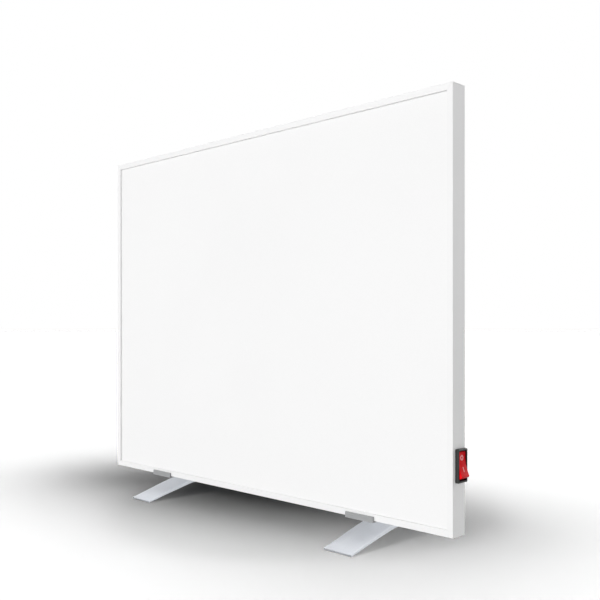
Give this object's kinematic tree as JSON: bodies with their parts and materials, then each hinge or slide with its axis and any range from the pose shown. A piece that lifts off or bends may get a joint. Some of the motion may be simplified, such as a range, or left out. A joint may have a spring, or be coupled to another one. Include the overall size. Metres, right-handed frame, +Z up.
{
  "type": "infrared panel heater",
  "caption": "Slim framed white infrared heating panel standing on low arched feet, with a rocker switch in its side.",
  "frame": {"origin": "middle of the whole object's footprint box, on the floor that the feet stand on", "axes": "+Z up, -Y is the radiating front, +X is the side with the rocker switch"},
  "size_m": [0.8092, 0.218, 0.642],
  "materials": {
    "frame_white": "fine-grained white powder coat on aluminium extrusion",
    "panel_white": "fine-textured white high-emissivity powder coat",
    "back_white": "light powder-coated sheet",
    "screw_steel": "zinc-plated steel",
    "cast_key": "die-cast aluminium, untreated",
    "board_green": "epoxy-glass laminate",
    "carbon": "printed carbon film",
    "copper": "bare copper strip",
    "mica": "mica laminate",
    "foil": "bright rolled foil",
    "insulation": "pressed mineral fibre board",
    "box_plastic": "light grey moulded plastic, fine spark texture",
    "gland_plastic": "light grey moulded nylon",
    "block_plastic": "natural nylon",
    "rubber_black": "black rubber",
    "ceramic_body": "moulded phenolic with metal cap",
    "brass": "plain brass",
    "wire_brown": "brown silicone insulation",
    "wire_blue": "blue silicone insulation",
    "wire_green": "green silicone insulation with yellow stripe",
    "switch_black": "black moulded nylon",
    "switch_red": "red translucent polycarbonate, glossy",
    "plunger_white": "natural acetal",
    "spring_steel": "spring steel wire",
    "lamp_glass": "clear neon lamp bulb",
    "foot_alu": "satin anodised aluminium",
    "clip_grey": "grey satin-plated steel",
    "pad_rubber": "anti-slip rubber"
  },
  "bodies": {
    "panel": {"frame_top": "frame_white", "frame_bottom": "frame_white", "frame_left": "frame_white", "frame_right": "frame_white", "corner_keys": "cast_key", "corner_key_screws": "screw_steel", "front_panel": "panel_white", "heating_board": "board_green", "busbars": "copper", "carbon_tracks": "carbon", "mica_sheet": "mica", "reflector_foil": "foil", "insulation_board": "insulation", "back_cover": "back_white", "back_cover_screws": "screw_steel", "wall_inserts": "screw_steel", "terminal_box_base": "box_plastic", "terminal_box_lid": "box_plastic", "lid_screws": "screw_steel", "box_fixing_screws": "screw_steel", "cable_gland_body": "gland_plastic", "cable_gland_nut": "gland_plastic", "cable_gland_cap": "gland_plastic", "cable_gland_seal": "rubber_black", "terminal_block": "block_plastic", "terminal_screws": "brass", "lead_grommet": "rubber_black", "thermal_cutouts": "ceramic_body", "earth_stud": "brass", "earth_lug": "brass", "earth_nut": "brass", "lead_live_supply": "wire_brown", "lead_live_switched": "wire_brown", "lead_cutout_link": "wire_brown", "lead_element_live": "wire_brown", "lead_element_neutral": "wire_blue", "lead_lamp_neutral": "wire_blue", "lead_earth": "wire_green", "switch_housing": "switch_black", "switch_terminals": "brass", "neon_lamp": "lamp_glass", "lamp_leads": "screw_steel", "foot_bow_left": "foot_alu", "foot_bow_right": "foot_alu", "foot_bracket_left": "clip_grey", "foot_bracket_right": "clip_grey", "foot_screws": "screw_steel", "foot_nuts": "screw_steel", "foot_fixing_screws": "screw_steel", "foot_pads": "pad_rubber"},
    "rocker": {"switch_rocker": "switch_red", "switch_plunger": "plunger_white", "switch_spring": "spring_steel"},
    "lever": {"contact_lever": "brass"}
  },
  "joints": [
    {"name": "rocker_tilt", "type": "hinge", "parent": "panel", "child": "rocker", "pos_m": [0.39124, -0.0434, 0.136], "axis": [0, 1, 0], "range_deg": [0, 23]},
    {"name": "contact_tilt", "type": "hinge", "parent": "panel", "child": "lever", "pos_m": [0.38324, -0.0434, 0.136], "axis": [0, 1, 0], "range_deg": [-14.1, 0]}
  ],
  "couplings": [
    {"joint": "contact_tilt", "follows": "rocker_tilt", "ratio": -0.6087}
  ]
}
